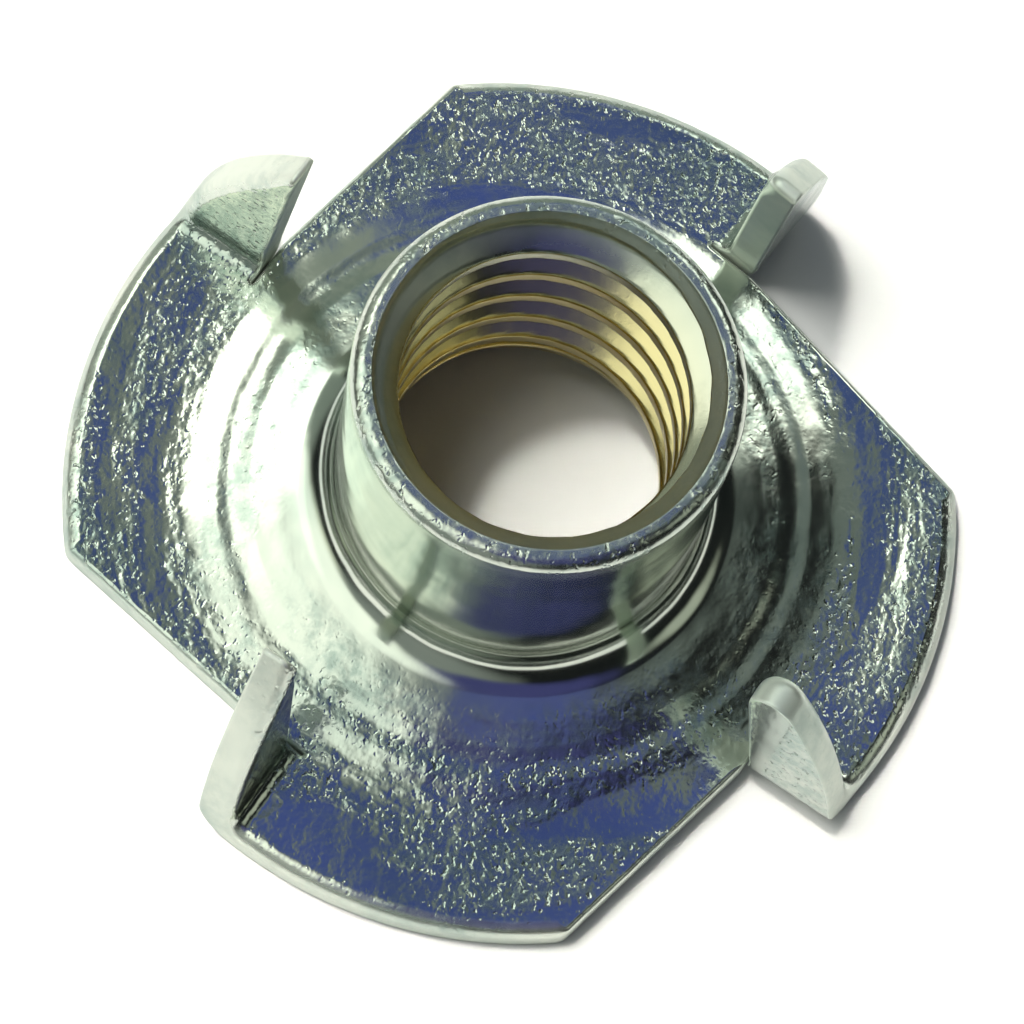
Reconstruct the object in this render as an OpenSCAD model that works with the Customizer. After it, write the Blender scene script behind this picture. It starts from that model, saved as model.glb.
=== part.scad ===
// Four-prong tee nut for a 5/16-18 machine screw, drawn and stamped from one disc of steel sheet.
// Millimetres, +Z up. The origin is the centre of the flange's underside, on the barrel's axis.
// The flat zone of the flange lies on the surface, and the barrel and the prongs stand up from it.
// Each prong is a tab of the disc, cut free by one straight slit and folded up near a radius.

/* [Flange] */
// Diameter of the flange over its rim
flange_d = 22.2; // [20.6:0.1:26]
// Thickness of the sheet
sheet_t = 0.9; // [0.7:0.05:1.1]
// Diameter of the crease between the flat zone and the shallow cone round the barrel
crease_d = 16.5; // [13.5:0.1:16.6]
// Height that the shallow cone climbs from the crease to the barrel's foot
cone_rise = 0.55; // [0.2:0.05:0.9]
// Radius of the rolled edge along the rim, on the barrel's side
rim_round = 0.3; // [0.1:0.05:0.45]

/* [Barrel] */
// Height of the barrel's mouth above the surface
overall_h = 9.5; // [7:0.1:14]
// Outside diameter of the barrel
barrel_d = 9.1; // [8.7:0.1:10.5]
// Radius of the fillet round the barrel's foot
foot_fillet = 1.1; // [0.6:0.05:1.4]
// Radius of the rounded outer edge of the mouth
lip_round = 0.35; // [0.1:0.05:0.35]

/* [Bore] */
// Diameter of the bore, which is the thread's minor diameter
bore_d = 6.8; // [6:0.05:7.2]
// Diameter of the countersunk mouth
mouth_d = 8.1; // [7.4:0.05:8.1]
// Depth of the countersink at the mouth
sink_depth = 0.9; // [0.4:0.05:1.5]
// Diameter of the wider, unthreaded entry on the flange's side
entry_d = 7.5; // [7.3:0.05:8.2]
// Height of the taper between the entry and the bore
entry_taper_h = 1; // [0.4:0.05:1.6]
// Radius of the drawn edge round the entry
entry_round = 0.7; // [0.3:0.05:0.8]

/* [Prongs] */
// Turn of each fold from its even quarter round the axis, in degrees
fold_turns = [1.5, 6.5, 7, 7]; // [-2:0.5:8]
// Distance that each fold lies to the clockwise side of its own radius
fold_offsets = [0.55, 1.65, 1.45, 2.15]; // [0:0.05:2.3]
// Lean of each prong away from its own lobe, in degrees
prong_leans = [4, 1, 2, -2]; // [-4:0.5:14]
// Height of each prong above the flat zone, measured along the prong
prong_heights = [7.2, 8, 5.9, 4.8]; // [4:0.1:8]
// Distance from the axis to the inner end of each fold, along the fold
fold_start_r = 8.4; // [8.3:0.05:8.8]
// Angle between each fold and the slit that frees its prong, in degrees
slit_angles = [99, 99.5, 98.5, 102.5]; // [90:0.5:104]
// Angle between each fold and the free edge of its prong, in degrees
tab_angles = [96.5, 96, 93, 101.5]; // [90:0.5:102]
// Inside radius of the fold
fold_r = 0.4; // [0.2:0.05:0.7]
// How much thinner the stretched sheet is in the fold
fold_thinning = 0.03; // [0.02:0.01:0.08]

/* [Hidden] */
$fn = 96;
small_fn = 32;                                    // facets of the small arcs in the section
prong_count = len(prong_leans);
flange_r = flange_d / 2;
crease_r = crease_d / 2;
barrel_r = barrel_d / 2;
bore_r = bore_d / 2;
mouth_r = mouth_d / 2;
entry_r = entry_d / 2;
foot_r = barrel_r + foot_fillet;                  // ring where the fillet meets the cone
foot_z = sheet_t + cone_rise;
entry_z = cone_rise + entry_round;                // top of the drawn edge round the entry
neutral_share = 0.45;                             // neutral layer of the fold, as a share of the sheet
fold_y = sheet_t / 2 + fold_r;                    // from the middle of a prong to the start of its fold
fold_lap = 3;                                     // degrees that the fold runs on inside the sheet at each end
slit_run = flange_d;                              // long enough to leave the disc
first_prong = -28;                                // puts the middles of the lobes near the X and Y axes
function slit_end(angle) =
    [fold_start_r + slit_run * cos(angle), -sheet_t / 2 - slit_run * sin(angle)];
function rim_x(y) = sqrt(pow(flange_r, 2) - pow(y, 2));
zinc = [0.66, 0.68, 0.74];

// What a round of radius r takes off a square corner that lies at the origin, and a little beyond it
module corner_waste(r) {
    difference() {
        translate([-r, -r]) square(r * 4 / 3);
        translate([-r, -r]) circle(r, $fn = small_fn);
    }
}

// Half section of the drawn nut before slitting: flat zone, cone, barrel and bore
module nut_section() {
    difference() {
        union() {
            polygon([
                [crease_r, 0], [flange_r, 0], [flange_r, sheet_t], [crease_r, sheet_t],
                [foot_r, foot_z], [barrel_r, foot_z], [barrel_r, overall_h], [mouth_r, overall_h],
                [bore_r, overall_h - sink_depth], [bore_r, entry_z + entry_taper_h],
                [entry_r, entry_z], [entry_r, cone_rise], [foot_r, cone_rise]
            ]);
            difference() {
                translate([barrel_r - sheet_t / 4, foot_z - sheet_t / 4])
                    square(foot_fillet + sheet_t / 4);
                translate([foot_r, foot_z + foot_fillet]) circle(foot_fillet, $fn = small_fn);
            }
        }
        translate([flange_r, sheet_t]) corner_waste(rim_round);
        translate([barrel_r, overall_h]) corner_waste(lip_round);
        translate([entry_r, cone_rise]) rotate(180) corner_waste(entry_round);
    }
}

// Flat disc with the same rolled rim, from which the tabs are taken
module blank_disc() {
    rotate_extrude() difference() {
        square([flange_r, sheet_t]);
        translate([flange_r, sheet_t]) corner_waste(rim_round);
    }
}

// Puts a fold that is drawn along +X in its place on the flange
module at_fold(i) {
    rotate([0, 0, first_prong + i * 360 / prong_count + fold_turns[i]])
        translate([0, -fold_offsets[i], 0]) children();
}

// Everything that one slit and fold take away from the flange, with the fold along +X
module notch(angle) {
    translate([0, 0, -sheet_t]) linear_extrude(3 * sheet_t + cone_rise)
        polygon([[fold_start_r, fold_y], [fold_start_r, -sheet_t / 2], slit_end(angle),
            [flange_d, -flange_d], [flange_d, fold_y]]);
}

// The tab in the flat blank, from the far side of the fold (at y = start_y) to its tip
module flat_tab(angle, offset, start_y, tip_y) {
    intersection() {
        translate([0, offset, 0]) blank_disc();
        linear_extrude(sheet_t) intersection() {
            polygon([[fold_start_r, start_y], [fold_start_r, -sheet_t / 2], slit_end(angle),
                [flange_d, -flange_d], [flange_d, start_y]]);
            translate([0, tip_y]) square([flange_d, start_y - tip_y]);
        }
    }
}

// One prong: the quarter bend and the tab that stands on it
module prong(lean, angle, height, offset) {
    bend = 90 - lean;
    bend_length = (fold_r + neutral_share * sheet_t) * bend * PI / 180;
    start_y = fold_y - bend_length;
    tip_y = start_y - (height - fold_r);
    bend_r = fold_r + fold_thinning / 2;
    bend_start_x = fold_start_r + fold_thinning / 2;
    bend_end_x = rim_x(fold_y - bend_length / 2 - offset) - fold_thinning / 2;
    translate([0, fold_y, sheet_t + fold_r]) {
        mirror([0, 1, 0]) rotate([0, 90, 0])
            rotate_extrude(angle = bend + 2 * fold_lap, start = -fold_lap) difference() {
                translate([bend_r, bend_start_x])
                    square([sheet_t - fold_thinning, bend_end_x - bend_start_x]);
                translate([bend_r, bend_end_x]) rotate(90) corner_waste(rim_round);
            }
        rotate([-bend, 0, 0]) translate([0, -start_y, -sheet_t - fold_r])
            flat_tab(angle, offset, start_y, tip_y);
    }
}

module tee_nut() {
    color(zinc) union() {
        difference() {
            rotate_extrude() nut_section();
            for (i = [0 : prong_count - 1]) at_fold(i) notch(slit_angles[i]);
        }
        for (i = [0 : prong_count - 1]) at_fold(i)
            prong(prong_leans[i], tab_angles[i], prong_heights[i], fold_offsets[i]);
    }
}

tee_nut();
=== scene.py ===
import math

import bpy
import numpy as np
from mathutils import Matrix, Vector
from mathutils.geometry import delaunay_2d_cdt


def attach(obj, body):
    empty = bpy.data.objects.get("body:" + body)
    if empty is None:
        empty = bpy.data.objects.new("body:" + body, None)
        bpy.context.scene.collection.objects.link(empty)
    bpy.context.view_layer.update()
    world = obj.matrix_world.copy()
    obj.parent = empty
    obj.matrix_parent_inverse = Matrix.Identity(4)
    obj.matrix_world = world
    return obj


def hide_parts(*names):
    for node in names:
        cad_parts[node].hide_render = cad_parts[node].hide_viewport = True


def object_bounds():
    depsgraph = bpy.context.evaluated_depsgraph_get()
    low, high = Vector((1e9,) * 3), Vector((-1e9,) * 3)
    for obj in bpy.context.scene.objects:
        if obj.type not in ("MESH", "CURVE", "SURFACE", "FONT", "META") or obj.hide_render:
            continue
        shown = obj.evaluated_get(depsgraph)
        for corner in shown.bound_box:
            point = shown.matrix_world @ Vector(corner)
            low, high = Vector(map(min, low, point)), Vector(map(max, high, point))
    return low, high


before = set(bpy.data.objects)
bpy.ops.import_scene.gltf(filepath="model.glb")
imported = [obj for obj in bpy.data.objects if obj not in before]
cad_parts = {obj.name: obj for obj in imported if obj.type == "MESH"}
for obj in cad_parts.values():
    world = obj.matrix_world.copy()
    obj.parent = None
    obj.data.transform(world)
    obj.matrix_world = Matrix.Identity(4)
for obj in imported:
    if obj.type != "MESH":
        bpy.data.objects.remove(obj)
CAD_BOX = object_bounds()
TOP_Z = CAD_BOX[1].z
MM = 0.001
PRONGS = 4

bl_info = {
    "name": "Four-prong tee nut",
    "version": (1, 0, 0),
    "blender": (4, 5, 0),
    "location": "View3D > Sidebar > Tee nut",
    "description": "A stamped and drawn tee nut with folded prongs, a cut thread and a zinc finish",
    "category": "Add Mesh",
}


# ---------------------------------------------------------------- settings

def length(name, description, value):
    """A size in metres, given in millimetres."""
    return bpy.props.FloatProperty(name=name, description=description, default=value * MM, min=0.0,
                                   subtype="DISTANCE", unit="LENGTH", precision=5)


def degrees(name, description, value):
    """An angle in radians, given in degrees."""
    return bpy.props.FloatProperty(name=name, description=description, default=math.radians(value),
                                   subtype="ANGLE", unit="ROTATION")


def per_prong(name, description, values, unit):
    """One value for each prong: angles are given in degrees and lengths in millimetres."""
    values = [math.radians(v) if unit == "ROTATION" else v * MM for v in values]
    return bpy.props.FloatVectorProperty(name=name, description=description, default=values, size=PRONGS,
                                         subtype="NONE", unit=unit, precision=5)


def position(name, description, value):
    """A place in metres."""
    return bpy.props.FloatVectorProperty(name=name, description=description, default=value, size=3,
                                         subtype="TRANSLATION", unit="LENGTH", precision=5)


def tint(name, description, value):
    """A linear colour."""
    return bpy.props.FloatVectorProperty(name=name, description=description, default=value, size=3,
                                         min=0.0, max=1.0, subtype="COLOR")


def share(name, description, value, top=1.0):
    """A number without a unit."""
    return bpy.props.FloatProperty(name=name, description=description, default=value, min=0.0, max=top,
                                   subtype="FACTOR")


def watts(name, description, value):
    """The power of a lamp."""
    return bpy.props.FloatProperty(name=name, description=description, default=value, min=0.0,
                                   unit="POWER", precision=5)


class TeeNutSheet(bpy.types.PropertyGroup):
    """The flat disc that the flange and the prongs are cut from."""
    flange_r: length("Flange radius", "Radius of the disc over its rim", 11.1)
    thickness: length("Thickness", "Thickness of the sheet", 0.9)
    crease_r: length("Crease radius", "Where the shallow cone meets the flat zone", 8.25)
    crease_half: length("Crease softness", "Half the width over which the crease turns", 0.6)
    cone_rise: length("Cone rise", "Height the cone climbs up to the barrel's foot", 0.55)
    rim_roll: length("Rim roll width", "Width of the rolled edge along the rim", 0.42)
    rim_drop: length("Rim roll depth", "Depth of the rolled edge along the rim", 0.3)
    cut_roll: length("Cut roll width", "Width of the rolled edge along the slits", 0.15)
    cut_drop: length("Cut roll depth", "Depth of the rolled edge along the slits", 0.13)
    tip_roll: length("Tip roll width", "Width of the rolled edge round a prong's tip", 0.4)
    tip_drop: length("Tip roll depth", "Depth of the rolled edge round a prong's tip", 0.4)
    tip_reach: length("Tip roll reach", "Distance over which the tip's roll fades", 0.9)
    cut_reach: length("Cut edge reach", "Distance from the tip over which the cut edge becomes the rim", 1.2)
    burr: length("Lower edge", "Width of the small round along the lower edge", 0.05)
    corner_round: length("Lobe corner", "Radius of a lobe's corner in plan", 0.5)
    kerf: length("Slit gap", "Gap between a prong and the flange it was cut from", 0.04)


class TeeNutProngs(bpy.types.PropertyGroup):
    """The four tabs, each folded up near a radius."""
    first: degrees("First prong", "Turn of the first fold round the axis", -28)
    turns: per_prong("Turns", "Turn of each fold from its even quarter", (1.5, 6.5, 7, 7), "ROTATION")
    offsets: per_prong("Offsets", "Distance of each fold from its radius", (0.55, 1.65, 1.45, 2.15), "LENGTH")
    leans: per_prong("Leans", "Lean of each prong away from its lobe", (4, 1, 2, -2), "ROTATION")
    slits: per_prong("Slit angles", "Angle from each fold to its slit", (99, 99.5, 98.5, 102.5), "ROTATION")
    tabs: per_prong("Tab angles", "Angle from each fold to its tab's edge", (96.5, 96, 93, 101.5), "ROTATION")
    heights: per_prong("Heights", "Height of each prong above the flat zone", (7.2, 8, 5.9, 4.8), "LENGTH")
    fold_start: length("Fold start", "Distance from the axis to the inner end of a fold", 8.4)
    fold_r: length("Fold radius", "Inside radius of a fold", 0.4)
    neutral: share("Neutral layer", "Where the sheet neither stretches nor shrinks in the fold", 0.45)


class TeeNutBarrel(bpy.types.PropertyGroup):
    """The barrel drawn up from the disc."""
    barrel_r: length("Barrel radius", "Outside radius of the barrel", 4.55)
    top: length("Top", "Height of the mouth above the surface", TOP_Z / MM)
    fillet: length("Foot fillet", "Radius of the fillet round the foot", 1.1)
    lip: length("Lip", "Radius of the rounded outer edge of the mouth", 0.35)
    mouth_r: length("Mouth radius", "Radius of the countersunk mouth", 4.05)
    entry_r: length("Entry radius", "Radius of the plain entry below the thread", 3.75)
    entry_round: length("Entry round", "Radius of the drawn edge round the entry", 0.7)


class TeeNutThread(bpy.types.PropertyGroup):
    """The thread in the bore."""
    pitch: length("Pitch", "Rise of the thread in one turn", 1.411)
    minor_r: length("Minor radius", "Radius to the crests", 3.4)
    major_r: length("Major radius", "Radius to the bottom of the groove", 4.0)
    root: length("Root flat", "Width of the flat at the bottom of the groove", 0.35)
    start: degrees("Start", "Turn of the thread round the axis", 0)
    sink: length("Countersink", "Depth of the countersink at the mouth", 0.9)
    taper: length("Taper", "Height of the taper between the entry and the thread", 1.0)
    columns: bpy.props.IntProperty(name="Columns", description="Steps round the bore", default=240, min=24)
    rows: bpy.props.IntProperty(name="Rows", description="Steps along the bore", default=180, min=16)


class TeeNutFinish(bpy.types.PropertyGroup):
    """The zinc plating."""
    zinc: tint("Zinc", "Colour of the plating", (0.80, 0.83, 0.74))
    bloom: tint("Bloom", "Colour of the duller patches", (0.46, 0.55, 0.50))
    straw: tint("Straw", "Warm colour inside the thread", (0.80, 0.68, 0.34))
    gloss: share("Roughness", "Roughness of the plating", 0.13)
    haze: share("Haze", "What the grainy arcs add to the roughness", 0.12)
    edge: share("Edge roughness", "What the blanked edges add to the roughness", 0.30)
    matt: share("Edge dullness", "How far the blanked edges lose their metallic look", 0.16)
    bump: length("Bump", "Height that a bump of 1 stands for", 0.06)
    wave: share("Wave", "Depth of the slight waves, as a bump", 1.5, 6.0)
    rings: share("Rings", "Depth of the fine marks that run round the axis, as a bump", 0.35, 6.0)
    grain: share("Grain", "Depth of the soft mottling, as a bump", 0.78, 4.0)
    pits: share("Pits", "Depth of the fine pits, as a bump", 0.50, 4.0)
    lift: share("Lift", "Rise of one lobe towards its rim, as a bump", 2.2, 6.0)
    groove: share("Groove", "Depth of the draw mark on the shallow cone, as a bump", 0.8, 6.0)
    groove_r: length("Groove radius", "Radius of the middle of the draw mark", 6.95)
    groove_half: length("Groove width", "Half the width of the draw mark", 0.45)


class TeeNutStage(bpy.types.PropertyGroup):
    """Floor, lights and camera."""
    floor: tint("Floor", "Colour of the floor", (0.62, 0.62, 0.61))
    floor_matt: share("Floor roughness", "Roughness of the floor", 0.7)
    floor_half: length("Floor size", "Half the width of the floor", 600)
    dim: tint("Dim surround", "Colour of the unlit surroundings", (0.010, 0.012, 0.012))
    world: share("Surround", "Brightness of the surroundings", 1.0, 10.0)
    key: watts("Key light", "Power of the main lamp", 0.88)
    key_size: length("Key size", "Width and height of the main lamp", 140)
    key_tint: tint("Key colour", "Colour of the main lamp", (1.0, 1.0, 0.96))
    key_place: position("Key place", "Middle of the main lamp", (0.0300, 0.1147, 0.2200))
    beam: watts("Bore light", "Power of the narrow beam down the bore", 0.0088)
    beam_size: length("Bore light size", "Width and height of the lamp for the beam", 60)
    beam_tint: tint("Bore light colour", "Colour of the beam", (1.0, 1.0, 0.92))
    beam_place: position("Bore light place", "Middle of the lamp for the beam", (0.0226, 0.0739, 0.2378))
    beam_spread: degrees("Bore light spread", "Angle over which the beam spreads", 7)
    lamp_turn: degrees("Lamp turn", "Direction in plan that the lamps' upright edges follow", 12.0321)
    tilt: degrees("Camera tilt", "Angle between the view and straight down", 18.3169)
    turn: degrees("Camera turn", "Turn of the view round the nut's axis", 94.3230)
    roll: degrees("Camera roll", "Turn of the picture in its own plane", 17.4580)
    seen: position("Camera place", "Middle of the sheet's top, from the camera: to the right, up and back",
                   (0.0000649, 0.0004517, -0.0986701))
    lens: bpy.props.FloatProperty(name="Lens", description="Focal length", default=140.625, min=1.0,
                                  unit="CAMERA")


# Soft panels round the nut: direction round the axis, angle from overhead, half width of the even part and of
# the whole in degrees, brightness and colour. A later one lies over an earlier one.
PANELS = (
    ("back", 23, 60, 35, 52, 1.0, (0.24, 0.28, 0.24)),
    ("left", 108, 52, 14, 30, 1.0, (0.95, 1.02, 0.84)),
    ("front left", 153, 60, 18, 45, 1.0, (0.22, 0.25, 0.23)),
    ("front", -162, 30, 12, 28, 1.0, (0.053, 0.057, 0.18)),
    ("above", -8, 16, 16, 26, 1.0, (0.15, 0.18, 0.165)),
    ("blue front", -124, 9, 4, 10, 1.0, (0.075, 0.095, 0.270)),
    ("blue back", 5, 42, 6, 14, 1.0, (0.050, 0.080, 0.280)),
    ("blue near", -48, 7, 3, 8, 1.0, (0.050, 0.075, 0.280)),
    ("blue middle", -16, 12, 2, 8, 1.0, (0.050, 0.078, 0.280)),
    ("blue far", -6, 23, 3, 9, 1.0, (0.052, 0.084, 0.255)),
    ("window", 108, 37, 23, 35, 1.6, (0.75, 0.80, 0.71)),
    ("window core", 78, 36, 6, 16, 1.7, (0.93, 1.0, 0.88)),
    ("lamp", 48, 32, 5, 12, 2.6, (0.95, 1.0, 0.88)),
    ("right", -92, 50, 5, 17, 1.0, (0.40, 0.44, 0.36)),
    ("far right", -23, 44, 6, 13, 2.4, (0.9, 0.95, 0.85)),
)

SETTINGS = {"tn_sheet": TeeNutSheet, "tn_prongs": TeeNutProngs, "tn_barrel": TeeNutBarrel,
            "tn_thread": TeeNutThread, "tn_finish": TeeNutFinish, "tn_stage": TeeNutStage}


# ---------------------------------------------------------------- node trees

class Socket:
    """A node's output that works in Python expressions: arithmetic on it adds Math nodes."""

    def __init__(self, tree, out):
        self.tree = tree
        self.out = out

    def maths(self, operation, *values, clamp=False):
        """One Math node on this value and others."""
        node = self.tree.node("ShaderNodeMath", {"operation": operation, "use_clamp": clamp},
                              dict(enumerate((self,) + values)))
        return Socket(self.tree, node.outputs[0])

    def __add__(self, other):
        return self.maths("ADD", other)

    def __sub__(self, other):
        return self.maths("SUBTRACT", other)

    def __mul__(self, other):
        return self.maths("MULTIPLY", other)

    def __truediv__(self, other):
        return self.maths("DIVIDE", other)

    def __neg__(self):
        return self.maths("MULTIPLY", -1.0)

    def __rsub__(self, other):
        return -self + other

    def __rtruediv__(self, other):
        return self.maths("POWER", -1.0) * other

    __radd__ = __add__
    __rmul__ = __mul__

    def larger(self, other):
        return self.maths("MAXIMUM", other)

    def smaller(self, other):
        return self.maths("MINIMUM", other)

    def cos(self):
        return self.maths("COSINE")

    def sin(self):
        return self.maths("SINE")

    def fraction(self):
        return self.maths("FRACT")

    def size(self):
        return self.maths("ABSOLUTE")

    def clamped(self):
        return self.maths("ADD", 0.0, clamp=True)

    def step(self, low, high):
        """0 below low, 1 above high, smooth between."""
        node = self.tree.node("ShaderNodeMapRange", {"interpolation_type": "SMOOTHSTEP"},
                              {"Value": self, "From Min": low, "From Max": high})
        return Socket(self.tree, node.outputs["Result"])

    def past(self, size, low, high):
        """0 to 1 as this length passes a size, from low to high millimetres beyond it."""
        return self.step(size + low * MM, size + high * MM)


class Tree:
    """Builds nodes in a node tree."""

    def __init__(self, tree):
        self.tree = tree

    def node(self, kind, settings=None, inputs=None):
        """One node: its settings first, then the values or links of its sockets, by name or number."""
        node = self.tree.nodes.new(kind)
        for key, value in (settings or {}).items():
            setattr(node, key, value)
        for key, value in (inputs or {}).items():
            if isinstance(value, Socket):
                self.tree.links.new(value.out, node.inputs[key])
            elif isinstance(value, bpy.types.NodeSocket):
                self.tree.links.new(value, node.inputs[key])
            else:
                node.inputs[key].default_value = value
        return node

    def out(self, node, name=0):
        """A node's output as a Socket."""
        return Socket(self, node.outputs[name])

    def xyz(self, where):
        """The three parts of a vector."""
        parts = self.node("ShaderNodeSeparateXYZ", {}, {0: where})
        return [self.out(parts, k) for k in "XYZ"]

    def noise(self, where, scale, detail, rough, **more):
        """Noise of the given scale, 0 to 1."""
        inputs = {"Vector": where, "Scale": scale, "Detail": detail, "Roughness": rough}
        return self.out(self.node("ShaderNodeTexNoise", more, inputs), "Fac")

    def mix(self, factor, low, high):
        """A colour between two."""
        node = self.node("ShaderNodeMix", {"data_type": "RGBA"}, {0: factor, 6: low, 7: high})
        return node.outputs[2]


def shader_tree(owner):
    """An emptied shader tree of a material or a world."""
    owner.use_nodes = True
    owner.node_tree.nodes.clear()
    return Tree(owner.node_tree)


# ---------------------------------------------------------------- the sheet

STEP = 0.2 * MM                                   # spacing of the mesh's points along a free edge
FOLD_ROWS = 14                                    # rows of faces across a fold
ROLL_ROWS = 6                                     # rows of faces down a rolled edge
CORNER_STEPS, SLIT_END_STEPS, TIP_STEPS = 10, 6, 14
TIP_ROUND = (0.11 * MM, 1.2 * MM)                 # the least and the largest radius of a tip in plan
TIP_TRIES = 50                                    # halvings of that range to find a prong's own
BURR_MIDDLE, BURR_END = 0.3, 1.6                  # places on the small lower edge, as shares of its width
SEAM_GAP = 0.05 * MM                              # from the soft crease in to the ring that joins the barrel
# Rings of the mesh in the flat zone: millimetres outside the crease, and how many points.
RINGS = ((-0.45, 240), (-0.25, 240), (-0.05, 240), (0.15, 240), (0.35, 240), (0.6, 160), (1.2, 120),
         (1.8, 120), (2.3, 120))
RING_SHIFT = 0.37                                 # keeps their points out of line with the joining ring's
FOLD_GAP = 0.1 * MM                               # room between them and a fold, and at its inner end
EDGE_GAP = 0.09 * MM                              # room that the inner points leave along a free edge
SAME_POINT = 1e-7                                 # millimetres within which the filling sees one point
TINY = 1e-9                                       # for a point that lies on a fold's own start


def lerp(a, b, k):
    """a where k is 0, b where it is 1."""
    return a + (b - a) * k


def smooth(k):
    """0 to 1, level at both ends."""
    k = np.clip(k, 0.0, 1.0)
    return k * k * (3 - 2 * k)


def circle(r, n, shift=0.0):
    """Points round the axis, evenly spaced."""
    a = (np.arange(n) + shift) * math.tau / n
    return r * np.stack([np.cos(a), np.sin(a)], 1)


def turned(points, angle):
    """Points of the plane, turned round the axis."""
    c, s = math.cos(angle), math.sin(angle)
    points = np.asarray(points, float)
    return np.stack([points[..., 0] * c - points[..., 1] * s, points[..., 0] * s + points[..., 1] * c], -1)


def spun(points, angle):
    """Points or normals in space, turned round the axis."""
    return np.column_stack([turned(points[:, :2], angle), points[:, 2]])


def raised(points, z):
    """Points or directions of the plane, with this z added."""
    return np.column_stack([points, np.broadcast_to(z, len(points))])


def angle_of(p):
    """Direction of a point of the plane."""
    return math.atan2(p[1], p[0])


def within(points, loop):
    """True for points inside a closed loop."""
    inside = np.zeros(len(points), bool)
    x, y = points[:, 0], points[:, 1]
    for (x0, y0), (x1, y1) in zip(loop, np.roll(loop, -1, 0)):
        cross = (y0 > y) != (y1 > y)
        if cross.any():
            inside ^= cross & (x < (x1 - x0) * (y - y0) / (y1 - y0) + x0)
    return inside


def touching(start, along, reach):
    """Distance from start, along a line, to the point at this reach from the axis, and that point."""
    b, c = start @ along, start @ start - reach ** 2
    run = -b + math.sqrt(b * b - c)
    return run, start + run * along


class SheetSizes:
    """The sheet's settings with what follows from them."""

    def __init__(self, sheet, barrel):
        for key in TeeNutSheet.__annotations__:
            setattr(self, key, getattr(sheet, key))
        self.cone_foot = barrel.barrel_r + barrel.fillet
        self.slope = self.cone_rise / (self.crease_r - self.cone_foot)
        self.inner_r = self.crease_r - self.crease_half - SEAM_GAP


class Prong:
    """One prong in a frame turned round the nut's axis: its fold runs along x, and the flat tab to -y."""

    def __init__(self, sheet, prongs, i):
        self.r, self.t, self.kerf = sheet.flange_r, sheet.thickness, sheet.kerf
        self.at = prongs.first + i * math.tau / PRONGS + prongs.turns[i]
        self.fold_r = prongs.fold_r
        self.middle_r = prongs.fold_r + prongs.neutral * self.t
        middle_y = -prongs.offsets[i]
        self.fold_y = middle_y + self.t / 2 + prongs.fold_r
        self.run = self.middle_r * (math.pi / 2 - prongs.leans[i])
        self.start_x, self.start_y = prongs.fold_start, self.fold_y - self.run
        self.rows = self.fold_y - self.run * np.arange(FOLD_ROWS + 1) / FOLD_ROWS
        slit, tab = prongs.slits[i], prongs.tabs[i]
        self.along, self.across = self.axes(slit)
        self.tab_along, self.tab_across = self.axes(tab)
        self.gap_across = self.axes((slit + tab) / 2)[1]
        # inner ends of the slit, on the flange's side and on the tab's
        self.body_p = np.array([self.start_x, middle_y - self.t / 2])
        self.tab_p = np.array([self.start_x + self.kerf, self.start_y])
        # lobe corner: a round that touches the rim and the slit
        self.corner_rho = sheet.corner_round
        self.corner_s, self.corner_c = touching(self.body_p - self.corner_rho * self.across, self.along,
                                                self.r - self.corner_rho)
        # tip: a round that touches the rim and the cut edge and ends at the prong's height
        tip_y = self.start_y - (prongs.heights[i] - prongs.fold_r)
        low, high = TIP_ROUND
        for _ in range(TIP_TRIES):
            self.tip_rho = (low + high) / 2
            self.tip_s, self.tip_c = touching(self.tab_p + self.tip_rho * self.tab_across, self.tab_along,
                                              self.r - self.tip_rho)
            if self.tip_c[1] - self.tip_rho < tip_y:
                low = self.tip_rho
            else:
                high = self.tip_rho

    def axes(self, angle):
        """Directions along and across a cut at this angle to the fold."""
        return np.array([math.cos(angle), -math.sin(angle)]), np.array([math.sin(angle), math.cos(angle)])

    def fold(self, flat, normal):
        """Bends points (x, y, z) of the flat tab, and their normals, up along the fold."""
        s = self.fold_y - flat[:, 1]
        angle = np.clip(s, 0, self.run) / self.middle_r
        past = np.clip(s - self.run, 0, None)
        arm = self.fold_r + self.t - flat[:, 2]
        cos, sin = np.cos(angle), np.sin(angle)
        y = self.fold_y - arm * sin - past * cos
        z = self.t + self.fold_r - arm * cos + past * sin
        bent_normal = np.stack([normal[:, 0], normal[:, 1] * cos + normal[:, 2] * sin,
                                -normal[:, 1] * sin + normal[:, 2] * cos], 1)
        return np.stack([flat[:, 0], y, z], 1), bent_normal

    def holds(self, p):
        """True for points of the flat blank that belong to this tab, in this prong's frame."""
        middle = self.body_p + np.array([self.kerf / 2, 0])
        beyond = (p - middle) @ self.gap_across > 0
        beside = np.where(p[:, 1] > self.body_p[1], p[:, 0] > middle[0], beyond)
        return beside & (p[:, 1] < self.fold_y + TINY)


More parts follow.
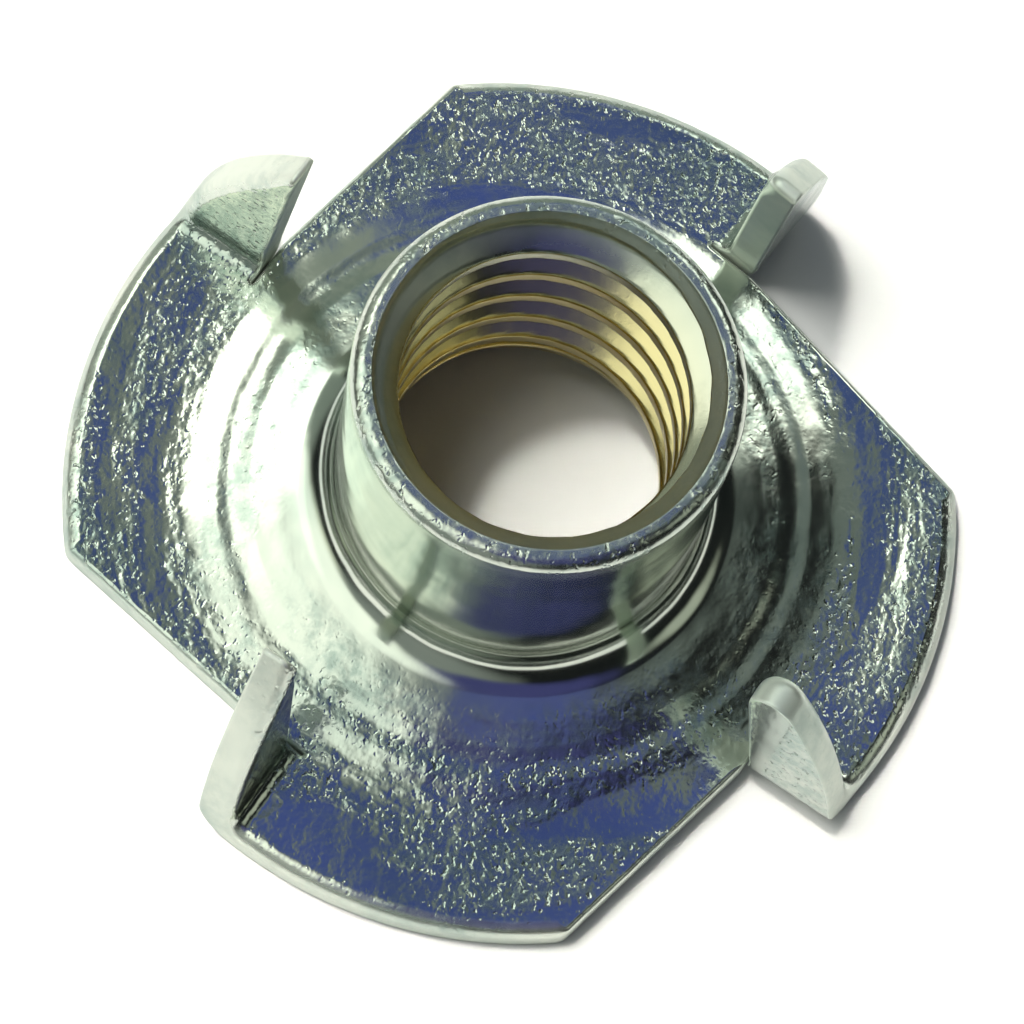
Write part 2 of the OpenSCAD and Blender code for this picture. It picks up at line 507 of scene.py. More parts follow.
class Outline:
    """The closed free edge of the flat blank: lobes, slits and tabs in one loop, with the sheet on its left.

    Each point has its outward direction, a number from 0 on the rolled rim to 1 on a cut edge, and its tab.
    """

    def __init__(self):
        self.points, self.normals, self.cut, self.owner = [], [], [], []
        self.tab = -1

    def add(self, prong, points, normals, cut):
        """Adds points of a prong's frame."""
        points, normals = np.asarray(points, float), np.asarray(normals, float)
        self.owner.extend([self.tab] * len(points))
        self.points.append(turned(points, prong.at))
        self.normals.append(turned(normals, prong.at))
        self.cut.append(np.broadcast_to(np.asarray(cut, float), len(points)))

    def line(self, prong, a, b, normal, cut):
        """A straight edge from a up to, but not including, b."""
        a, b = np.asarray(a, float), np.asarray(b, float)
        n = max(1, int(round(np.linalg.norm(b - a) / STEP)))
        k = np.arange(n) / n
        self.add(prong, a + (b - a) * k[:, None], np.tile(normal, (n, 1)), cut)

    def rows(self, prong, x_of_y, normal_of, cut, ys):
        """Points at given values of y."""
        points = np.array([[x_of_y(y), y] for y in ys])
        self.add(prong, points, np.array([normal_of(p) for p in points]), cut)

    def arc(self, prong, centre, rho, a0, a1, cut, n=None, inward=False):
        """An arc from angle a0 up to, but not including, a1. cut may follow the share and length run."""
        run = abs(a1 - a0) * rho
        n = n or max(2, int(round(run / STEP)))
        k = np.arange(n) / n
        a = a0 + (a1 - a0) * k
        out = np.stack([np.cos(a), np.sin(a)], 1)
        self.add(prong, np.asarray(centre) + rho * out, -out if inward else out,
                 cut(k, run * k) if callable(cut) else cut)

    def done(self):
        """Points, outward directions, cut numbers and tabs, with -1 for a point of the flange."""
        return (np.concatenate(self.points), np.concatenate(self.normals), np.concatenate(self.cut),
                np.array(self.owner))


def blank_outline(sheet, prongs):
    """Walks round the blank anticlockwise."""
    out = Outline()
    r, half = sheet.flange_r, sheet.kerf / 2
    for i, p in enumerate(prongs):
        before = prongs[i - 1]
        # the lobe: rim from the fold before, in the earlier prong's frame, corner, and slit
        turn = p.at - before.at + (math.tau if p.at < before.at else 0.0)
        corner, tip = angle_of(p.corner_c), angle_of(p.tip_c)
        out.arc(before, (0, 0), r, math.asin(before.fold_y / r), corner + turn, 0.0)
        out.arc(p, p.corner_c, p.corner_rho, corner, angle_of(p.across), lambda k, s: smooth(k),
                CORNER_STEPS)
        out.line(p, p.body_p + p.corner_s * p.along, p.body_p, p.across, 1.0)
        out.line(p, p.body_p, (p.start_x, p.fold_y), (1, 0), 1.0)
        out.arc(p, (p.start_x + half, p.fold_y), half, math.pi, 0.0, 1.0, SLIT_END_STEPS, inward=True)
        # the tab: fold, cut edge, tip, rim, and fold again
        out.tab = i
        out.rows(p, lambda y: p.start_x + p.kerf, lambda q: (-1, 0), 1.0, p.rows[:-1])
        out.line(p, p.tab_p, p.tab_p + p.tip_s * p.tab_along, -p.tab_across, 1.0)
        out.arc(p, p.tip_c, p.tip_rho, angle_of(-p.tab_across), tip + math.tau, 1.0, TIP_STEPS)
        out.arc(p, (0, 0), r, tip, math.asin(p.start_y / r), lambda k, s: 1 - smooth(s / sheet.cut_reach))
        out.rows(p, lambda y: math.sqrt(r * r - y * y), lambda q: q / r, 0.0, p.rows[::-1][:-1])
        out.tab = -1
    return out.done()


class Mesh:
    """Collects points with their normals, and faces. A point's flag is 1 where it lies on a free edge."""

    def __init__(self):
        self.points, self.normals, self.flags, self.faces, self.count = [], [], [], [], 0

    def add(self, points, normals, flag=0.0):
        """Adds points and gives their numbers."""
        self.points.append(np.asarray(points, float))
        self.normals.append(np.asarray(normals, float))
        self.flags.append(np.broadcast_to(np.asarray(flag, float), len(points)))
        first = self.count
        self.count += len(points)
        return np.arange(first, self.count)

    def piece(self, points, normals, faces, flag=0.0):
        """Adds points with faces that number them from 0, and gives the points' numbers here."""
        numbers = self.add(points, normals, flag)
        self.faces.extend(tuple(numbers[list(f)]) for f in faces)
        return numbers

    def strip(self, a, b):
        """Closed band of faces between two rings of the same count."""
        self.faces.extend(zip(a, np.roll(a, -1), np.roll(b, -1), b))

    def data(self, name):
        """The collected mesh for an object, with its flags as the attribute cut_edge."""
        data = bpy.data.meshes.new(name)
        data.from_pydata(np.concatenate(self.points), [], [tuple(int(v) for v in f) for f in self.faces])
        flag = data.attributes.new("cut_edge", "FLOAT", "POINT")
        flag.data.foreach_set("value", np.concatenate(self.flags).astype(np.float32))
        data.polygons.foreach_set("use_smooth", np.ones(len(data.polygons), bool))
        if data.validate(verbose=False):
            raise RuntimeError("the nut's mesh had to be mended")
        n = np.concatenate(self.normals)
        data.normals_split_custom_set_from_vertices(n / np.linalg.norm(n, axis=1)[:, None])
        return data


def cone_height(sheet, r):
    """Height and slope of the shallow cone at radius r."""
    h, slope = sheet.crease_half, sheet.slope
    d = sheet.crease_r - r
    rise = np.where(d > h, d * slope, np.where(d < -h, 0.0, slope * (d + h) ** 2 / (4 * h)))
    grade = np.where(d > h, slope, np.where(d < -h, 0.0, slope * (d + h) / (2 * h)))
    return rise, grade


def rolled(sheet, prongs, outline, cut, owner):
    """Width and depth of the rolled edge at each point of the outline. The roll deepens towards a tip."""
    wide, deep = lerp(sheet.rim_roll, sheet.cut_roll, cut), lerp(sheet.rim_drop, sheet.cut_drop, cut)
    for i, p in enumerate(prongs):
        far = np.maximum(np.hypot(*(outline - turned(p.tip_c, p.at)).T) - p.tip_rho, 0)
        far[owner != i] = np.inf
        near = smooth(far / sheet.tip_reach)
        wide, deep = lerp(sheet.tip_roll, wide, near), lerp(sheet.tip_drop, deep, near)
        wide = np.minimum(wide, 0.7 * p.tip_rho + 0.3 * far)      # so that the roll stays inside the tip
    return wide, deep


def inner_points(sheet, prongs, edge):
    """Points inside the flat zone: rings at the crease and rows across each fold."""
    points = np.concatenate([circle(sheet.crease_r + away * MM, n, RING_SHIFT) for away, n in RINGS])
    keep = np.ones(len(points), bool)
    for p in prongs:
        x, y = turned(points, -p.at).T
        keep &= ~((x > p.start_x) & (y < p.fold_y + FOLD_GAP) & (y > p.start_y - FOLD_GAP))
    points = [points[keep]]
    for p in prongs:
        x = np.arange(p.start_x + FOLD_GAP, p.r, STEP)
        rows = [np.column_stack([x, np.full(len(x), y)]) for y in p.rows]
        points.append(turned(np.concatenate(rows), p.at))
    points = np.concatenate(points)
    gap = np.full(len(points), np.inf)
    for q in edge:
        gap = np.minimum(gap, np.hypot(*(points - q).T))
    return points[within(points, edge) & (gap > EDGE_GAP)]


def filled(outline, ring, inner):
    """Triangles between the outline and the inner ring, through the given inner points."""
    points = np.concatenate([outline, ring, inner])
    n, m = len(outline), len(ring)
    edges = [(k, (k + 1) % n) for k in range(n)] + [(n + k, n + (k + 1) % m) for k in range(m)]
    _, _, faces, origin, _, _ = delaunay_2d_cdt([tuple(p / MM) for p in points], edges, [], 0, SAME_POINT)
    if any(not o for o in origin):
        raise RuntimeError("the free edge of the blank crosses itself")
    index = np.array([o[0] for o in origin])
    tris = index[np.array([f[:] for f in faces if len(f) == 3])]
    centre = points[tris].mean(1)
    outside = np.hypot(*centre.T) > np.hypot(*ring[0]) * math.cos(math.pi / m)
    return tris[outside & within(centre, outline)]


def flat_blank(sheet, prongs, columns):
    """The slit blank before forming, with its free edge rolled, and its upper and lower inner rings."""
    outline, outward, cut, owner = blank_outline(sheet, prongs)
    wide, deep = rolled(sheet, prongs, outline, cut, owner)
    burr, zero = sheet.burr, np.zeros(len(outline))
    flat, loops = Mesh(), []

    def loop(inset, z, tilt, flag):
        """One loop of points along the free edge."""
        normals = raised(outward * math.sin(tilt), math.cos(tilt))
        loops.append(flat.add(raised(outline - outward * inset[:, None], z), normals, flag))

    for k in range(ROLL_ROWS + 1):                                # down the roll
        tilt = math.pi / 2 * k / ROLL_ROWS
        loop(wide * (1 - math.sin(tilt)), sheet.thickness - deep * (1 - math.cos(tilt)), tilt,
             k / ROLL_ROWS)
    loop(zero, burr * BURR_END, math.pi / 2, 1.0)                 # and round the small lower edge
    loop(zero + burr * BURR_MIDDLE, burr * BURR_MIDDLE, math.pi * 0.75, 1.0)
    loop(zero + burr * BURR_END, 0.0, math.pi, 0.0)
    for upper, lower in zip(loops, loops[1:]):
        flat.faces.extend(zip(upper, lower, np.roll(lower, -1), np.roll(upper, -1)))
    ring, rings = circle(sheet.inner_r, columns), []
    for z, k, up in ((sheet.thickness, 0, 1.0), (0.0, len(loops) - 1, -1.0)):
        edge = flat.points[k][:, :2]
        inner = inner_points(sheet, prongs, edge)
        ring_numbers, inner_numbers = (flat.add(raised(part, z), np.tile((0.0, 0.0, up), (len(part), 1)))
                                       for part in (ring, inner))
        tris = np.concatenate([loops[k], ring_numbers, inner_numbers])[filled(edge, ring, inner)]
        flat.faces.extend(map(tuple, tris if up > 0 else tris[:, ::-1]))
        rings.append(ring_numbers)
    return flat, rings


def sheet_zone(mesh, sheet, prongs, columns):
    """Adds the blank with its tabs folded and its cone raised, and gives the upper and lower inner rings."""
    blank, rings = flat_blank(sheet, prongs, columns)
    flat, normal = np.concatenate(blank.points), np.concatenate(blank.normals)
    placed, placed_normal = flat.copy(), normal.copy()
    taken = np.zeros(len(flat), bool)
    for p in prongs:
        local, local_normal = spun(flat, -p.at), spun(normal, -p.at)
        mine = p.holds(local[:, :2]) & ~taken
        folded, folded_normal = p.fold(local[mine], local_normal[mine])
        placed[mine], placed_normal[mine] = spun(folded, p.at), spun(folded_normal, p.at)
        taken |= mine
    r = np.hypot(flat[:, 0], flat[:, 1])
    rise, grade = cone_height(sheet, r)
    body = ~taken
    placed[body, 2] += rise[body]
    placed_normal[body, :2] += (grade / r)[body, None] * flat[body, :2] * normal[body, 2:3]
    numbers = mesh.piece(placed, placed_normal, blank.faces, np.concatenate(blank.flags))
    return numbers[rings[0]], numbers[rings[1]]


# ---------------------------------------------------------------- the drawn barrel

CONE_ROWS, FILLET_ROWS, WALL_ROWS, LIP_ROWS = 9, 20, 8, 10        # rows of faces from the sheet to the mouth
ENTRY_ROWS, UNDER_ROWS = 14, 8                    # and from the bore's entry out along the underside
MOUTH_GAP = 0.02 * MM                             # from the mouth's edge out to the last ring
KINK_GAP = 0.03 * MM                              # from a kink to the rings on both sides of it
LEVEL_GAP = 1e-7                                  # how far the bore's last points may lie from its end


def barrel_profile(sheet, barrel):
    """Outer profile from the sheet zone up to the mouth, as (r, z, normal r, normal z)."""
    rows = []

    def arc(cr, cz, rho, a0, a1, n, sign):
        for k in range(n + 1):
            a = lerp(a0, a1, k / n)
            c, s = math.cos(a), math.sin(a)
            rows.append((cr + rho * c, cz + rho * s, sign * c, sign * s))

    lean = math.atan(sheet.slope)
    meet = sheet.cone_foot - barrel.fillet * math.sin(lean)       # where the fillet leaves the cone
    for k in range(1, CONE_ROWS):
        r = lerp(sheet.inner_r, meet, k / CONE_ROWS)
        rise, grade = cone_height(sheet, r)
        rows.append((r, sheet.thickness + rise, grade / math.hypot(grade, 1), 1 / math.hypot(grade, 1)))
    fillet_z = sheet.thickness + cone_height(sheet, meet)[0] + barrel.fillet * math.cos(lean)
    arc(sheet.cone_foot, fillet_z, barrel.fillet, -math.pi / 2 - lean, -math.pi, FILLET_ROWS, -1)
    lip_r, lip_z = barrel.barrel_r - barrel.lip, barrel.top - barrel.lip
    for k in range(1, WALL_ROWS):
        rows.append((barrel.barrel_r, lerp(fillet_z, lip_z, k / WALL_ROWS), 1, 0))
    arc(lip_r, lip_z, barrel.lip, 0, math.pi / 2, LIP_ROWS, 1)
    rows.append((barrel.mouth_r + MOUTH_GAP, barrel.top, 0, 1))
    return rows


def under_profile(sheet, barrel):
    """From the entry's top down and out along the underside to the sheet zone."""
    rows = []
    rho, rise, foot = barrel.entry_round, sheet.cone_rise, sheet.cone_foot
    for k in range(1, ENTRY_ROWS + 1):
        a = math.pi + math.pi / 2 * k / ENTRY_ROWS
        c, s = math.cos(a), math.sin(a)
        rows.append((barrel.entry_r + rho + rho * c, rise + rho + rho * s, c, s))
    rows.append((foot - KINK_GAP, rise, 0, -1))
    n = math.hypot(sheet.slope, 1)
    for k in range(UNDER_ROWS):
        r = lerp(foot + KINK_GAP, sheet.inner_r, k / UNDER_ROWS)
        rows.append((r, cone_height(sheet, r)[0], -sheet.slope / n, -1 / n))
    return rows


def revolve(mesh, rows, columns):
    """Adds a ring for each row of a profile, and gives the rings' numbers."""
    around = circle(1.0, columns)
    return [mesh.add(raised(r * around, z), raised(nr * around, nz)) for r, z, nr, nz in rows]


def weld(mesh, bore, top_ring, bottom_ring):
    """Adds the bore's tube and joins its two ends to the rings of the nut."""
    columns = len(top_ring)
    points, normals, faces = mesh_arrays(bore)
    if np.einsum("ij,ij->i", normals[:, :2], points[:, :2]).mean() > 0:       # they have to face the axis
        normals, faces = -normals, [f[::-1] for f in faces]
    numbers = mesh.piece(points, normals, faces)
    z = points[:, 2]
    for level, ring, backwards in ((z.max(), top_ring, False), (z.min(), bottom_ring, True)):
        at = np.flatnonzero(abs(z - level) < LEVEL_GAP)
        turn = np.round(np.arctan2(points[at, 1], points[at, 0]) / math.tau * columns).astype(int) % columns
        end = np.empty(columns, int)
        end[turn] = numbers[at]
        if backwards:
            mesh.strip(end, ring)
        else:
            mesh.strip(ring, end)


# ---------------------------------------------------------------- the thread

THREAD_INPUTS = ("Pitch", "Minor Radius", "Major Radius", "Root Flat", "Start", "Bottom", "Top",
                 "Entry Radius", "Mouth Radius", "Countersink", "Taper")
THREAD_COUNTS = ("Columns", "Rows")
FLANK = math.tan(math.radians(30))                # half of the thread's 60 degrees
WHOLE_TURNS = 8.0                                 # keep the phase above 0 where its fraction is taken
START_SHARE = 0.15                                # of the taper: where the cut begins
RUN_IN = 0.8                                      # of the pitch: the height over which it reaches its depth
MERGE_GAP = 1e-6                                  # closes the tube's seam


def thread_tree():
    """Geometry Nodes: a tube of Columns by Rows faces whose radius follows the thread's rule."""
    group = bpy.data.node_groups.new("Threaded bore", "GeometryNodeTree")
    face = group.interface
    for name in THREAD_INPUTS:
        face.new_socket(name, in_out="INPUT", socket_type="NodeSocketFloat")
    for name in THREAD_COUNTS:
        face.new_socket(name, in_out="INPUT", socket_type="NodeSocketInt")
    face.new_socket("Material", in_out="INPUT", socket_type="NodeSocketMaterial")
    face.new_socket("Geometry", in_out="OUTPUT", socket_type="NodeSocketGeometry")
    tree = Tree(group)
    given = tree.node("NodeGroupInput")
    value = {name: tree.out(given, name) for name in THREAD_INPUTS + THREAD_COUNTS}
    pitch, minor, bottom, top = (value[name] for name in ("Pitch", "Minor Radius", "Bottom", "Top"))
    grid = tree.node("GeometryNodeMeshGrid", {}, {
        "Size X": 1.0, "Size Y": 1.0, "Vertices X": value["Columns"] + 1, "Vertices Y": value["Rows"]})
    x, y, _ = tree.xyz(tree.out(tree.node("GeometryNodeInputPosition")))
    turn = x + 0.5
    z = bottom + (y + 0.5) * (top - bottom)
    # distance from the middle of the groove, along the axis
    phase = ((z - bottom) / pitch - turn + value["Start"] / math.tau + WHOLE_TURNS).fraction()
    away = (phase - 0.5).size() * pitch
    depth = value["Major Radius"] - minor
    half = value["Root Flat"] * 0.5 + depth * FLANK
    start = bottom + value["Taper"] * START_SHARE
    cut = ((half - away) / FLANK).larger(0.0).smaller(depth) * z.step(start, start + pitch * RUN_IN)
    # countersink above and taper below, where they are wider than the thread
    sink = minor + (z - (top - value["Countersink"])) / value["Countersink"] * (value["Mouth Radius"] - minor)
    taper = value["Entry Radius"] - (z - bottom) / value["Taper"] * (value["Entry Radius"] - minor)
    radius = (minor + cut).larger(sink).larger(taper)
    angle = turn * math.tau
    spot = tree.node("ShaderNodeCombineXYZ", {}, {0: radius * angle.cos(), 1: radius * angle.sin(), 2: z})
    moved = tree.node("GeometryNodeSetPosition", {}, {"Geometry": grid.outputs["Mesh"],
                                                      "Position": spot.outputs[0]})
    closed = tree.node("GeometryNodeMergeByDistance", {}, {"Geometry": moved.outputs[0],
                                                           "Distance": MERGE_GAP})
    real = tree.node("GeometryNodeRealizeInstances", {}, {"Geometry": closed.outputs[0]})
    done = tree.node("GeometryNodeSetMaterial", {}, {"Geometry": real.outputs[0],
                                                     "Material": given.outputs["Material"]})
    tree.node("NodeGroupOutput", {}, {"Geometry": done.outputs[0]})
    return group


def apply_tree(obj, group, values):
    """Runs a Geometry Nodes tree on an object and gives the plain mesh."""
    mod = obj.modifiers.new("Tree", "NODES")
    mod.node_group = group
    for item in group.interface.items_tree:
        if item.in_out == "INPUT" and item.name in values:
            mod[item.identifier] = values[item.name]
    graph = bpy.context.evaluated_depsgraph_get()
    made = bpy.data.meshes.new_from_object(obj.evaluated_get(graph))
    obj.modifiers.remove(mod)
    return made


def mesh_arrays(mesh):
    """Points, normals and faces of a mesh."""
    points = np.empty(len(mesh.vertices) * 3)
    mesh.vertices.foreach_get("co", points)
    normals = np.empty(len(mesh.vertices) * 3)
    mesh.vertices.foreach_get("normal", normals)
    return points.reshape(-1, 3), normals.reshape(-1, 3), [tuple(p.vertices) for p in mesh.polygons]


# ---------------------------------------------------------------- finish

# Scales of the noise patterns, in cells to the metre.
CLOUD, WAVE, SPECK, FINE, PIT = 260.0, 330.0, 2300.0, 2600.0, 6600.0
# Scales of the patterns that run round the axis: round it, and outwards in cells to the metre.
ROUND, OUTWARDS = 2.4, 900.0


class Plating:
    """The zones and patterns of the zinc, and what they give: its colour, roughness and bump."""

    def __init__(self, tree, scene):
        self.tree, self.finish = tree, scene.tn_finish
        sheet, barrel, thread = scene.tn_sheet, scene.tn_barrel, scene.tn_thread
        where = tree.out(tree.node("ShaderNodeTexCoord"), "Object")
        x, y, z = tree.xyz(where)
        r = (x * x + y * y).maths("SQRT")
        # zones, from 0 outside them to 1 inside, with their edges in millimetres from the nut's own sizes
        self.edge = tree.out(tree.node("ShaderNodeAttribute", {"attribute_name": "cut_edge"}), "Fac")
        self.inside = 1.0 - r.past(thread.major_r, -0.02, 0.12)
        self.thread = self.inside * (1.0 - z.past(barrel.top, -3.0, -0.1))
        self.lip = z.past(barrel.top, -1.0, -0.5)
        self.drawn = (r.past(barrel.barrel_r, -0.45, -0.15) * (1.0 - r.past(barrel.barrel_r, 0.75, 1.45))
                      * (1.0 - z.past(barrel.top, -0.5, -0.2)))
        # how much of the grain is left: hardly any on the drawn wall, some in the bore and on the cut edges
        self.plain = (1.0 - self.drawn * 0.93) * (1.0 - self.inside * 0.7) * (1.0 - self.edge * 0.6)
        left = (-x / r).step(0.35, 0.85) * r.past(sheet.crease_r, -1.85, -1.05)
        lobes, mouth = r.past(sheet.crease_r, -0.35, 0.15), z.past(barrel.top, -0.4, -0.2)
        self.lobe = (lobes + left * 0.7 + mouth).clamped()
        self.rising = r.past(sheet.flange_r, -1.9, -0.6) * (-y / r).step(0.90, 0.99) * (1.0 - self.edge)
        groove = (r - self.finish.groove_r) / self.finish.groove_half
        self.groove = (1.0 - groove * groove).larger(0.0)
        # patterns: even ones, and ones that run round the axis as the marks of drawing do
        self.cloud = tree.noise(where, CLOUD, 3.0, 0.55)
        self.wave = tree.noise(where, WAVE, 2.0, 0.45)
        self.speck = tree.noise(where, SPECK, 2.0, 0.55)
        self.fine = tree.noise(where, FINE, 3.0, 0.6).step(0.30, 0.70)
        self.pit = tree.noise(where, PIT, 1.0, 0.5).step(0.48, 0.82)
        around = tree.node("ShaderNodeCombineXYZ", {}, {0: x / r * ROUND, 1: y / r * ROUND,
                                                        2: r * OUTWARDS}).outputs[0]
        self.ring = tree.noise(around, 1.0, 2.0, 0.5)
        self.patch = tree.noise(around, 0.8, 3.0, 0.6, noise_dimensions="4D").step(0.40, 0.56)

    def colour(self):
        """Zinc with duller patches, and straw in the thread."""
        finish = self.finish
        dull = (self.cloud.step(0.35, 0.7) * 0.6 + self.fine * self.patch * self.plain * 0.7).clamped()
        base = self.tree.mix(dull, (*finish.zinc, 1), (*finish.bloom, 1))
        return self.tree.mix((self.thread * 0.95).clamped(), base, (*finish.straw, 1))

    def roughness(self):
        """Clear between the grainy arcs, and rougher on the lip, in the bore and on the blanked edges."""
        finish = self.finish
        return (finish.gloss + self.patch * self.fine * finish.haze * self.plain + (self.cloud - 0.5) * 0.06
                + self.inside * 0.08 + self.lip * (0.10 + self.inside * 0.14)
                + self.edge * finish.edge).clamped()

    def height(self):
        """Waves, marks of drawing, and mottling and pits, thick on the grainy arcs and thin between them."""
        finish = self.finish
        grain = self.speck * finish.grain * (0.35 + self.patch * 0.65) * (0.3 + self.lobe * 0.7)
        pits = self.pit * self.pit * finish.pits * (0.12 + self.lobe * 0.88) * (0.08 + self.patch * 0.92)
        groove = self.groove * self.groove * (self.ring + 0.2) * finish.groove
        return (self.wave * finish.wave - groove + self.ring * finish.rings * (1.0 - self.drawn)
                + self.rising * finish.lift + (grain - pits) * self.plain)


def zinc_material(scene):
    """Bright zinc over drawn steel: clear, speckled and a little wavy, warmer inside the thread."""
    material = bpy.data.materials.new("bright_zinc")
    tree = shader_tree(material)
    plating = Plating(tree, scene)
    finish = plating.finish
    bump = tree.node("ShaderNodeBump", {}, {"Strength": 1.0, "Distance": finish.bump,
                                            "Height": plating.height()})
    shader = tree.node("ShaderNodeBsdfPrincipled", {}, {
        "Base Color": plating.colour(), "Metallic": 1.0 - plating.edge * finish.matt,
        "Roughness": plating.roughness(), "Normal": bump.outputs[0]})
    tree.node("ShaderNodeOutputMaterial", {}, {"Surface": shader.outputs[0]})


# ---------------------------------------------------------------- the stage

def pale_floor(settings):
    """The material of the floor."""
    material = bpy.data.materials.new("pale_floor")
    tree = shader_tree(material)
    shader = tree.node("ShaderNodeBsdfPrincipled", {}, {"Base Color": (*settings.floor, 1),
                                                        "Roughness": settings.floor_matt})
    tree.node("ShaderNodeOutputMaterial", {}, {"Surface": shader.outputs[0]})
    return material


def surround(settings):
    """The world: dim, with the soft panels that the metal mirrors."""
    world = bpy.data.worlds.new("surround")
    sky = shader_tree(world)
    x, y, up = sky.xyz(sky.node("ShaderNodeTexCoord").outputs["Generated"])
    shade = (*settings.dim, 1)
    for _, turn, lean, inner, outer, power, colour in PANELS:
        turn, lean, inner, outer = (math.radians(a) for a in (turn, lean, inner, outer))
        near = (x * (math.sin(lean) * math.cos(turn)) + y * (math.sin(lean) * math.sin(turn))
                + up * math.cos(lean))
        shade = sky.mix(near.step(math.cos(outer), math.cos(inner)), shade, (*(power * c for c in colour), 1))
    light = sky.node("ShaderNodeBackground", {}, {"Color": shade, "Strength": settings.world})
    sky.node("ShaderNodeOutputWorld", {}, {"Surface": light.outputs[0]})
    return world


def lamp(name, place, size, power, colour, turn):
    """A square lamp that faces the nut."""
    data = bpy.data.lights.new(name, "AREA")
    data.shape = "SQUARE"
    data.size = size
    data.color = colour
    data.energy = power
    away = -place.normalized()
    side = away.cross(Vector((math.cos(turn), math.sin(turn), 0))).normalized()
    axes = Matrix((side, side.cross(away), -away)).transposed()
    obj = bpy.data.objects.new(name, data)
    obj.visible_glossy = False                    # the metal shows the panels round it instead
    obj.matrix_world = Matrix.Translation(place) @ axes.to_4x4()
    bpy.context.scene.collection.objects.link(obj)
    return data


def camera(settings, target):
    """Looks steeply down at the mouth, a little from the front."""
    data = bpy.data.cameras.new("camera")
    data.sensor_width = 36.0
    data.lens = settings.lens
    data.clip_start = 0.001
    data.clip_end = 10.0
    to_view = (Matrix.Rotation(-settings.roll, 3, "Z") @ Matrix.Rotation(-settings.tilt, 3, "X")
               @ Matrix.Rotation(settings.turn, 3, "Z"))
    to_world = to_view.transposed()
    obj = bpy.data.objects.new("camera", data)
    obj.matrix_world = Matrix.Translation(target - to_world @ settings.seen) @ to_world.to_4x4()
    bpy.context.scene.collection.objects.link(obj)
    return obj


# ---------------------------------------------------------------- operators

class TEENUT_OT_finish(bpy.types.Operator):
    """Make the zinc finish"""
    bl_idname = "teenut.finish"
    bl_label = "Zinc finish"

    def execute(self, context):
        zinc_material(context.scene)
        return {"FINISHED"}


class TEENUT_OT_thread(bpy.types.Operator):
    """Make the threaded bore as an open tube"""
    bl_idname = "teenut.thread"
    bl_label = "Threaded bore"

    def execute(self, context):
        scene = context.scene
        sheet, barrel, thread = scene.tn_sheet, scene.tn_barrel, scene.tn_thread
        obj = bpy.data.objects.new("threaded_bore", bpy.data.meshes.new("threaded_bore"))
        scene.collection.objects.link(obj)
        made = apply_tree(obj, thread_tree(), {
            "Pitch": thread.pitch, "Minor Radius": thread.minor_r, "Major Radius": thread.major_r,
            "Root Flat": thread.root, "Start": thread.start, "Bottom": sheet.cone_rise + barrel.entry_round,
            "Top": barrel.top, "Entry Radius": barrel.entry_r, "Mouth Radius": barrel.mouth_r,
            "Countersink": thread.sink, "Taper": thread.taper, "Columns": thread.columns, "Rows": thread.rows,
            "Material": bpy.data.materials["bright_zinc"]})
        obj.data = made
        if len(made.vertices) != thread.columns * thread.rows:
            raise RuntimeError(f"the threaded bore's seam is open: {len(made.vertices)} points")
        return {"FINISHED"}


class TEENUT_OT_body(bpy.types.Operator):
    """Make the flange, prongs and barrel, and weld the threaded bore into them"""
    bl_idname = "teenut.body"
    bl_label = "Nut"

    def execute(self, context):
        scene = context.scene
        barrel, columns = scene.tn_barrel, scene.tn_thread.columns
        sheet = SheetSizes(scene.tn_sheet, barrel)
        prongs = [Prong(sheet, scene.tn_prongs, i) for i in range(PRONGS)]
        mesh = Mesh()
        upper, lower = sheet_zone(mesh, sheet, prongs, columns)
        outer = revolve(mesh, barrel_profile(sheet, barrel), columns)
        under = revolve(mesh, under_profile(sheet, barrel), columns)
        for a, b in zip([upper] + outer, outer):
            mesh.strip(a, b)
        for a, b in zip(under, under[1:] + [lower]):
            mesh.strip(a, b)
        bore = scene.objects["threaded_bore"]
        weld(mesh, bore.data, outer[-1], under[0])
        bpy.data.objects.remove(bore)
        obj = bpy.data.objects.new("tee_nut_body", mesh.data("tee_nut_body"))
        obj.data.materials.append(bpy.data.materials["bright_zinc"])
        scene.collection.objects.link(obj)
        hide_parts("tee_nut")
        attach(obj, "root")
        return {"FINISHED"}


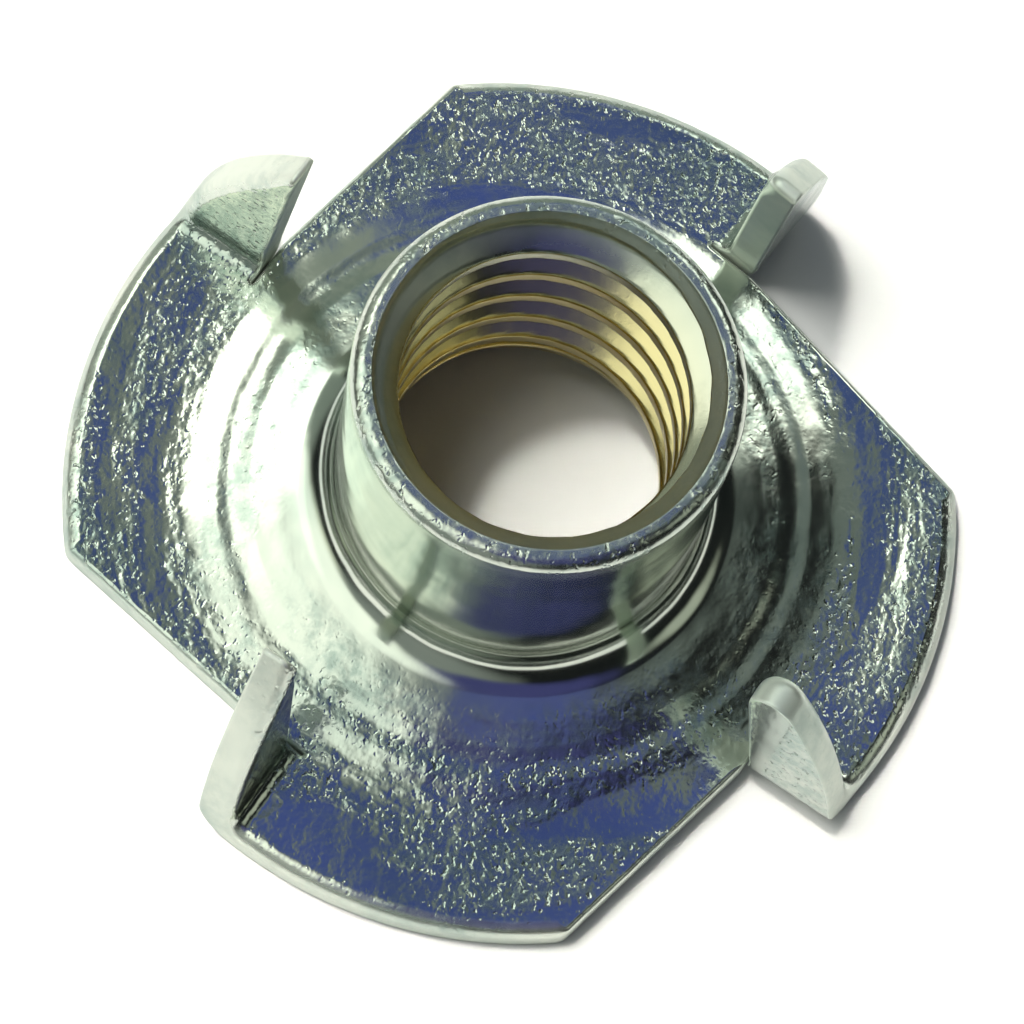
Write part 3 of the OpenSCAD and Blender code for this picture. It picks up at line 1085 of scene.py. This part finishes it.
class TEENUT_OT_stage(bpy.types.Operator):
    """Make the floor, the lights and the camera"""
    bl_idname = "teenut.stage"
    bl_label = "Stage"

    def execute(self, context):
        scene = context.scene
        settings = scene.tn_stage
        floor = bpy.data.meshes.new("floor")
        w = settings.floor_half
        floor.from_pydata([(-w, -w, 0), (w, -w, 0), (w, w, 0), (-w, w, 0)], [], [(0, 1, 2, 3)])
        floor.materials.append(pale_floor(settings))
        floor_obj = bpy.data.objects.new("floor", floor)
        scene.collection.objects.link(floor_obj)
        scene.world = surround(settings)
        turn = settings.lamp_turn
        lamp("key", settings.key_place, settings.key_size, settings.key, settings.key_tint, turn)
        beam = lamp("bore_light", settings.beam_place, settings.beam_size, settings.beam, settings.beam_tint,
                    turn)
        beam.spread = settings.beam_spread
        scene.camera = camera(settings, Vector((0, 0, scene.tn_sheet.thickness)))
        view = scene.view_settings
        view.view_transform = "Standard"
        view.look = "None"
        return {"FINISHED"}


class TEENUT_PT_panel(bpy.types.Panel):
    """Lists the nut's settings and its operators"""
    bl_idname = "TEENUT_PT_panel"
    bl_label = "Tee nut"
    bl_space_type = "VIEW_3D"
    bl_region_type = "UI"
    bl_category = "Tee nut"

    def draw(self, context):
        for key, group in SETTINGS.items():
            box = self.layout.box()
            box.label(text=group.__doc__)
            for name in group.__annotations__:
                box.prop(getattr(context.scene, key), name)
        for operator in OPERATORS:
            self.layout.operator(operator.bl_idname)


OPERATORS = (TEENUT_OT_finish, TEENUT_OT_thread, TEENUT_OT_body, TEENUT_OT_stage)


def register():
    for cls in (*SETTINGS.values(), *OPERATORS, TEENUT_PT_panel):
        bpy.utils.register_class(cls)
    for key, group in SETTINGS.items():
        setattr(bpy.types.Scene, key, bpy.props.PointerProperty(type=group))


def unregister():
    for key in SETTINGS:
        delattr(bpy.types.Scene, key)
    for cls in (TEENUT_PT_panel, *OPERATORS[::-1], *list(SETTINGS.values())[::-1]):
        bpy.utils.unregister_class(cls)


def main():
    register()
    for operator in OPERATORS:
        family, name = operator.bl_idname.split(".")
        getattr(getattr(bpy.ops, family), name)()


if __name__ == "__main__":
    main()
